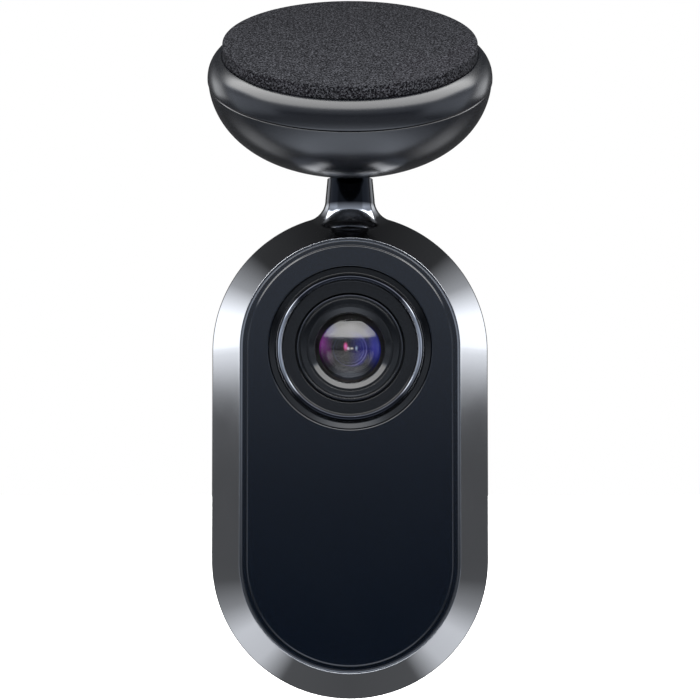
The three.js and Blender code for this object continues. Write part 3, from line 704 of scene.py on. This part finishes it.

# the second element's colour is painted reflection: a violet and a blue reflection of the side
# lights, painted glints and painted highlight rings. A patch is (x, z, half width, half height,
# colour, strength) across the lens, and a line is (radius, half width, strength)
violet, blue = (0.34, 0.035, 0.36), (0.035, 0.04, 0.42)
paintedReflections = {
    "base": 0.0012, "edge": 0.06, "behindTint": 2.2,
    "around": [(-3.75, 1.1, 0.75, 1.2, violet, 1), (-3.1, 0.0, 0.9, 1.7, violet, 0.16),
               (3.35, 0.4, 0.8, 1.9, blue, 1), (-2.9, 2.6, 0.9, 0.8, blue, 0.5),
               (2.9, 2.5, 1.0, 0.8, blue, 0.3), (0, -3.6, 2.4, 0.9, (0.06, 0.07, 0.09), 0.5)],
    "centre": [(-0.55, 0.35, 0.17, 0.34, (0.95, 0.12, 0.35), 1.1),
               (-0.22, 0.08, 0.14, 0.14, (0.9, 0.8, 0.85), 1),
               (0.22, 0.08, 0.16, 0.1, (0.75, 0.8, 0.5), 1),
               (0.82, 0.1, 0.12, 0.22, (0.25, 0.35, 0.4), 1)],
    "navy": (0.004, 0.004, 0.11), "lines": [(2.1, 0.035, 0.5), (1.75, 0.03, 0.25)],
    "lineColour": (0.18, 0.18, 0.5),
}


def reflectionPaintedDome():
    # a coated dome inside a painted ring, with painted reflections worked out at every point: a violet
    # reflection on one side, a blue one on the other, and black between them with small painted glints
    # in the middle
    c = lens["coated"]
    r = np.concatenate([c["inner"] * np.sin(np.linspace(0, math.pi / 2, 70)),
                        np.linspace(c["inner"], c["rim"], 60)[1:]])
    domeHeight = c["apex"] - c["curve"] + np.sqrt(c["curve"] ** 2 - np.minimum(r, c["inner"]) ** 2)
    height = domeHeight - c["slope"] * np.maximum(r - c["inner"], 0)
    shape = np.concatenate([np.stack([r, height], 1), [(c["edge"], height[-1]),
                            (c["edge"], c["foot"]), (0, c["foot"])]])
    piece = latheMesh("reflectionPaintedDome", shape, lensMid, forward, 300, closed=False)
    mesh = piece.data
    place3d = np.zeros(len(mesh.vertices) * 3)
    mesh.vertices.foreach_get("co", place3d)
    place3d = place3d.reshape(-1, 3) / mm - lensMid
    x, z = place3d[:, 0], place3d[:, 2]
    rho = np.hypot(x, z)
    outside = 1 / (1 + np.exp(-(rho - c["inner"]) / paintedReflections["edge"]))
    colour = np.zeros((len(x), 3)) + paintedReflections["base"]

    def addPatches(patches, mask):
        # each patch is a bell curve in x and z
        for cx, cz, wide, high, tint, strength in patches:
            patch = np.exp(-((x - cx) / wide) ** 2 - ((z - cz) / high) ** 2)
            colour[:] += (mask * patch)[:, None] * np.array(tint) * strength

    # painted violet and blue reflections round the dome
    addPatches(paintedReflections["around"], outside)
    # painted reflection: navy grows across the dome from left to right, and the thin painted
    # highlight rings are brighter on the right
    navy = (1 - outside) * np.clip((x + 0.35) / 1.8, 0, 1) ** 1.4
    colour += navy[:, None] * np.array(paintedReflections["navy"])
    lines = sum(np.exp(-((rho - radius) / width) ** 2) * strength
                for radius, width, strength in paintedReflections["lines"])
    right = 0.25 + 0.75 * np.clip((x - z * 0.6) / 2.2, 0, 1)
    colour += (right * lines)[:, None] * np.array(paintedReflections["lineColour"])
    # painted glints in the middle of the dome
    addPatches(paintedReflections["centre"], 1)
    # the front glass in front of it is tinted
    colour *= paintedReflections["behindTint"]
    data = mesh.attributes.new("paintedReflections", "FLOAT_COLOR", "POINT")
    rgba = np.concatenate([np.clip(colour, 0, 1), np.ones((len(x), 1))], 1)
    data.data.foreach_set("color", rgba.astype(np.float32).ravel())
    return piece


def reflectionPaintedDomeMaterial():
    # the colour is the painted reflections, and the smear changes only the roughness
    material, tree, shader, where = newMaterial("reflectionPaintedDome")
    tint = addNode(tree, "ShaderNodeAttribute", attribute_name="paintedReflections")
    wear = useGroup(tree, "handling", {
        "Place": where, "Smear Scale": 200.0, "Low": 0.015, "High": 0.03})
    tree.links.new(tint.outputs["Color"], shader.inputs["Base Color"])
    tree.links.new(wear.outputs["Roughness"], shader.inputs["Roughness"])
    shader.inputs["Specular IOR Level"].default_value = 0.04
    return material


place(reflectionPaintedDome(), reflectionPaintedDomeMaterial(), "camera", ["second_lens"], 20)

stop = lens["stopRing"]
stopShape = roundedProfile([
    (stop["hole"], stop["back"], 0.03), (stop["edge"], stop["back"], 0.03),
    (stop["edge"], stop["front"], 0.03), (stop["hole"] + 0.25, stop["front"], 0.03),
    (stop["hole"], stop["back"] + 0.1, 0.02)], 3)
place(latheMesh("apertureStop", stopShape, lensMid, forward, 128),
      matt, "camera", ["aperture_stop"])
print("lens ready")

# ---- the back: cover, button, screws ----

cover = {"front": -6.5, "back": -9.8, "pocket": 12.4, "floor": -8.3, "buttonZ": -3.0,
         "buttonHole": 3.3, "screwX": 14.3, "screwZ": 17.0, "screwRecess": 1.75, "screwBore": 1.0,
         "light": (8.0, 9.0, 0.9), "microphone": (10.0, -4.0, 0.5), "speakerZ": -24.2,
         "speakerHole": 0.5, "speakerRing": 1.8, "cutFrom": 5.0, "cutTo": 11.0,
         "recessFloor": 8.0}
screwPlaces = [(sx * cover["screwX"], sz * cover["screwZ"]) for sz in (1, -1) for sx in (-1, 1)]


def plugAlongY(name, radius, y0, y1, x, z, flare=0.0, steps=64):
    # a round plug along Y, widened at its outer end to leave a small chamfer where it cuts
    r = np.array([0, radius, radius, radius + flare, 0])
    y = np.array([y0, y0, y1 - flare - 0.4 * (flare > 0), y1, y1])
    return latheMesh(name, np.stack([r, y], 1), bodyMid + [x, 0, z], -forward, steps, closed=False)


def rearCover():
    # the section carried round the body, then the holes cut through it and the screws' recesses
    c = cover
    outline = roundedProfile([
        (0.0, c["back"], 0), (13.2, c["back"], 3.0), (16.3, -8.7, 3.0), (17.6, c["front"] - 0.5, 0.8),
        (17.6, c["front"], 0.1), (c["pocket"], c["front"], 0.2), (c["pocket"], c["floor"], 0.3),
        (0.0, c["floor"], 0)], steps=12, closed=False)
    stations = stadiumStations(120, 40)
    points = stadiumPoints(outline, stations)
    piece = makeMesh("rearCover", points, gridFaces(len(stations), len(outline), True, False))
    start, end, back = c["cutFrom"], c["cutTo"], -c["back"]
    holes = [(c["buttonHole"], 0, c["buttonZ"], 0.25), (c["light"][2], *c["light"][:2], 0.1),
             (c["microphone"][2], *c["microphone"][:2], 0.1)]
    turns = np.radians(np.arange(0, 360, 60))
    spots = [(0.0, 0.0)] + list(zip(c["speakerRing"] * np.cos(turns), c["speakerRing"] * np.sin(turns)))
    holes += [(c["speakerHole"], x, c["speakerZ"] + z, 0.1) for x, z in spots]
    for radius, x, z, flare in holes:
        cutAway(piece, plugAlongY("cut", radius, start, back + flare * 0.5, x, z, flare))
        cutAway(piece, plugAlongY("cut", radius + flare * 0.4, back - 0.1, end, x, z))
    for x, z in screwPlaces:
        cutAway(piece, plugAlongY("cut", c["screwBore"], start, end, x, z))
        cutAway(piece, plugAlongY("cut", c["screwRecess"], c["recessFloor"], end, x, z))
    return piece


place(rearCover(), satin, "camera", ["rear_cover"])

rubber = makeMaterial("buttonRubber", rgb(22, 22, 24), rgb(28, 28, 30), rough=(0.5, 0.62),
                      grain=(9000, 0.012), dust=0.05)
buttonShape = roundedProfile([
    (0, -7.6, 0), (3.9, -7.6, 0.05), (3.9, -8.1, 0.05), (3.0, -8.1, 0.1), (3.0, -10.2, 0.35),
    (2.2, -10.2, 0.25), (1.7, -10.05, 0.4), (0, -10.0, 0)], steps=8, closed=False)
button = latheMesh("rearButton", buttonShape, bodyMid + [0, 0, cover["buttonZ"]], forward, 128,
                   closed=False)
place(button, rubber, "rear_button", ["rear_button"])

steel = makeMaterial("steel", rgb(148, 150, 155), rgb(176, 178, 182), rough=(0.22, 0.36),
                     smearScale=400, metallic=1.0, grain=(20000, 0.001))
screw = {"shank": 0.8, "head": 1.5, "headBack": 9.1, "headFront": 8.15, "tip": 1.0, "drive": 0.72,
         "lobe": 0.16, "driveDepth": 0.5, "over": 0.3}


def rearScrew(name, x, z):
    # pan head with a six-lobed recess: its radius = drive * (1 + lobe * cos 6a)
    s = screw
    shape = roundedProfile([
        (0, s["tip"], 0), (s["shank"] - 0.2, s["tip"], 0.05), (s["shank"], s["tip"] + 0.4, 0.05),
        (s["shank"], s["headFront"], 0), (s["head"], s["headFront"], 0.08),
        (s["head"], s["headBack"], 0.35), (0, s["headBack"], 0)], steps=6, closed=False)
    middle = bodyMid + [x, 0, z]
    piece = latheMesh(name, shape, middle, -forward, 64, closed=False)
    a = np.linspace(0, 2 * math.pi, 48, endpoint=False)
    r = s["drive"] * (1 + s["lobe"] * np.cos(6 * a))
    low, high = s["headBack"] - s["driveDepth"], s["headBack"] + s["over"]
    heights = np.array([low, low, high, high])
    grow = np.array([0, 1, 1, 0])
    radius = grow[None] * r[:, None]
    points = np.stack([radius * np.cos(a)[:, None], np.broadcast_to(heights, radius.shape),
                       radius * np.sin(a)[:, None]], -1) + middle
    cutAway(piece, makeMesh("cut", points, gridFaces(len(a), 4, True, False)))
    return piece


for number, (x, z) in enumerate(screwPlaces, 1):
    place(rearScrew(f"rearScrew.{number}", x, z), steel, "camera", [f"rear_screw_{number}"])
print("back ready")

# ---- the joint: liner and ball, seen through the bowl's opening ----

acetal = makeMaterial("acetal", rgb(30, 31, 33), rgb(40, 41, 43), rough=(0.32, 0.42),
                      grain=(7000, 0.004))
joint = {"ball": 6.0, "clear": 0.15, "liner": 7.4, "linerLow": -2.6, "linerHigh": 3.4,
         "stud": 2.3, "ballLow": -5.2, "ballHigh": 4.0}


def jointPieces():
    j = joint
    # liner: its inside is a sphere around the ball
    seat = j["ball"] + j["clear"]
    h = np.linspace(j["linerHigh"], j["linerLow"], 40)
    inside = np.stack([np.sqrt(seat ** 2 - h ** 2), h], 1)
    liner = latheMesh("socketLiner", np.concatenate([
        inside, [(j["liner"], j["linerLow"]), (j["liner"], j["linerHigh"])]]), ball, headAxis, 160)
    # ball: a sphere cut flat at both ends and bored for the stud
    h = np.linspace(j["ballLow"], j["ballHigh"], 70)
    outside = np.stack([np.sqrt(j["ball"] ** 2 - h ** 2), h], 1)
    sphere = latheMesh("pivotBall", np.concatenate([
        outside, [(j["stud"], j["ballHigh"]), (j["stud"], j["ballLow"])]]), ball, up, 200)
    return liner, sphere


liner, sphere = jointPieces()
place(liner, acetal, "socket_liner", ["socket_liner"], 35)
place(sphere, steel, "pivot_ball", ["pivot_ball"], 35)
print("joint ready")

# ---- the CAD nodes that keep their own mesh ----

board = makeMaterial("circuitBoard", rgb(10, 46, 34), rgb(18, 64, 46), toneScale=900,
                     rough=(0.3, 0.4), grain=(5000, 0.004))
finishes = {
    "rubber": (rgb(16, 16, 17), rgb(24, 24, 25), dict(rough=(0.6, 0.75), grain=(6000, 0.01))),
    "chip": (rgb(20, 20, 22), rgb(30, 30, 32), dict(rough=(0.45, 0.6), grain=(12000, 0.006))),
    "flex": (rgb(150, 78, 20), rgb(178, 98, 30), dict(toneScale=300, rough=(0.25, 0.35))),
    "pad": (rgb(128, 130, 134), rgb(150, 152, 156), dict(rough=(0.7, 0.85), grain=(4000, 0.02))),
    "wrap": (rgb(26, 52, 104), rgb(34, 64, 122), dict(rough=(0.22, 0.3), smearScale=200)),
    "tinned": (rgb(168, 170, 172), rgb(192, 194, 196),
               dict(toneScale=120, rough=(0.2, 0.34), metallic=1.0, grain=(9000, 0.002))),
    "card": (rgb(16, 17, 20), rgb(24, 25, 28), dict(rough=(0.35, 0.45), grain=(12000, 0.004))),
    "clear": (rgb(196, 206, 214), rgb(214, 222, 228), dict(rough=(0.08, 0.14), smearScale=300)),
}
made = {name: makeMaterial(name, dark, light, **more)
        for name, (dark, light, more) in finishes.items()}
made.update(board=board, acetal=acetal, steel=steel, satin=satin, matt=matt, glass=glass)

nodeFinish = {
    "socket_housing": "satin", "pressure_cup": "acetal", "spring_washer": "steel",
    "socket_screw_1": "steel", "socket_screw_2": "steel", "socket_screw_3": "steel",
    "stud_clip": "steel", "fascia_seal": "rubber", "lens_spacer": "matt", "third_lens": "glass",
    "rear_lens": "glass", "infrared_filter": "glass", "lens_holder": "satin",
    "image_sensor": "chip", "sensor_board": "board", "holder_screw_1": "steel",
    "holder_screw_2": "steel", "main_board": "board", "flex_cable": "flex",
    "flex_connector": "acetal", "processor": "chip", "thermal_pad": "pad",
    "heat_spreader": "tinned", "memory_chip": "chip", "motion_sensor": "chip",
    "backup_battery": "wrap", "usb_socket": "steel", "usb_tongue": "card",
    "card_socket": "tinned", "memory_card": "card", "speaker": "matt", "microphone": "tinned",
    "wifi_antenna": "flex", "button_switch": "steel", "status_led": "clear",
    "status_light_pipe": "clear",
}
for node, finish in nodeFinish.items():
    mesh = frame["nodes"][node].data
    mesh.materials.clear()
    mesh.materials.append(made[finish])
print("kept nodes finished:", len(nodeFinish))

# ---- floor and light ----

stage = {"floorZ": -130.0, "size": 6000.0}


def studioFloor():
    # a flat sheet below the part, left out of reflections
    u = np.linspace(-stage["size"], stage["size"], 3)
    x, y = np.meshgrid(u, u, indexing="ij")
    points = np.stack([x, y, 0 * x + stage["floorZ"]], -1)
    piece = makeMesh("studioFloor", points, gridFaces(3, 3))
    material = makeMaterial("paleFloor", (0.86, 0.86, 0.86, 1), (0.88, 0.88, 0.88, 1), toneScale=3,
                            rough=(0.9, 0.95))
    piece.data.materials.append(material)
    piece.visible_glossy = False


studioFloor()

# brightness by direction. "front" and "side" run over elevation in degrees, on the viewer's side
# and far out to both sides; "strip" is a tall light at each side, just behind the object, and
# "behind" is what lies beyond it: both run over the angle round the viewing direction, from
# straight down to straight up. Each pair of edges is where one zone fades into the next
light = {
    "scale": 9.0,
    "front": [(-90, 2.1), (-64, 2.6), (-47, 1.2), (-31, 0.45), (-14, 0.4), (-8, 0.35), (-5.2, 0.03),
              (-4.5, 0.03), (0, 0.2), (4.5, 0.6), (7, 0.7), (14, 0.6), (23, 0.9), (27.5, 7.0),
              (50, 8.0), (75, 8.5), (90, 8.0)],
    "side": [(-90, 0.3), (-22, 0.25), (-6, 1.3), (12, 1.3), (26, 0.4), (90, 0.4)],
    "strip": [(-90, 0.14), (-62, 0.16), (-50, 1.15), (-36, 1.3), (-24, 0.5), (-12, 0.16), (0, 0.14),
              (2.5, 0.16), (4.5, 2.5), (20, 2.5), (33, 0.7), (48, 0.06), (90, 0.02)],
    "behind": [(-90, 0.1), (-30, 0.1), (0, 0.1), (30, 0.08), (90, 0.02)],
    "frontEdge": (0.25, 0.36), "frontWidth": (0.8, 0.9),
    "stripInner": (0.36, 0.46), "stripOuter": (0.68, 0.78),
    "cool": (0.92, 1.0, 1.14), "whiteFrom": (3.0, 5.0), "whiteBehind": 0.75, "soft": 1.1,
    "backdrop": 1.0,
}


def studioWorld():
    world = bpy.data.worlds.new("studio")
    bpy.context.scene.world = world
    world.use_nodes = True
    tree = world.node_tree
    back = tree.nodes["Background"]
    axis = addNode(tree, "ShaderNodeSeparateXYZ", {
        "Vector": tree.nodes.new("ShaderNodeTexCoord").outputs["Generated"]})
    x, y, z = axis.outputs

    def calc(operation, *values):
        return addNode(tree, "ShaderNodeMath", dict(enumerate(values)), operation=operation).outputs[0]

    def step(value, edges):
        return addNode(tree, "ShaderNodeMapRange", {
            "Value": value, "From Min": edges[0], "From Max": edges[1]},
            interpolation_type="SMOOTHSTEP").outputs[0]

    def mix(share, low, high):
        return addNode(tree, "ShaderNodeMix", {0: share, 2: low, 3: high}, data_type="FLOAT").outputs[0]

    def ramp(angle, stops):
        # angle in radians to a brightness through the stops, in degrees
        share = addNode(tree, "ShaderNodeMapRange", {
            "Value": angle, "From Min": -math.pi / 2, "From Max": math.pi / 2}).outputs[0]
        node = addNode(tree, "ShaderNodeValToRGB", {"Fac": share})
        marks = node.color_ramp.elements
        while len(marks) < len(stops):
            marks.new(0.5)
        for mark, (degrees, value) in zip(marks, stops):
            mark.position = (degrees + 90) / 180
            mark.color = (value / light["scale"],) * 3 + (1,)
        return calc("MULTIPLY", node.outputs["Color"], light["scale"])

    wide = calc("ABSOLUTE", x)
    rise = calc("ARCSINE", z)
    frontal = mix(step(wide, light["frontWidth"]), ramp(rise, light["front"]),
                  ramp(rise, light["side"]))
    turn = calc("ARCTAN2", z, wide)
    inStrip = calc("SUBTRACT", step(y, light["stripInner"]), step(y, light["stripOuter"]))
    beyond = mix(inStrip, ramp(turn, light["behind"]), ramp(turn, light["strip"]))
    seen = mix(step(y, light["frontEdge"]), frontal, beyond)
    path = tree.nodes.new("ShaderNodeLightPath")
    softly = mix(path.outputs["Is Diffuse Ray"], seen, light["soft"])
    strength = mix(path.outputs["Is Camera Ray"], softly, light["backdrop"])
    whiter = mix(step(y, light["frontEdge"]), step(strength, light["whiteFrom"]),
                 light["whiteBehind"])
    white = (1, 1, 1, 1)
    tint = mixColours(tree, whiter, light["cool"] + (1,), white)
    even = calc("MAXIMUM", path.outputs["Is Camera Ray"], path.outputs["Is Diffuse Ray"])
    tree.links.new(mixColours(tree, even, tint, white), back.inputs["Color"])
    tree.links.new(strength, back.inputs["Strength"])


studioWorld()
bpy.context.scene.view_settings.view_transform = "Standard"
print("stage ready")

bpy.context.view_layer.update()
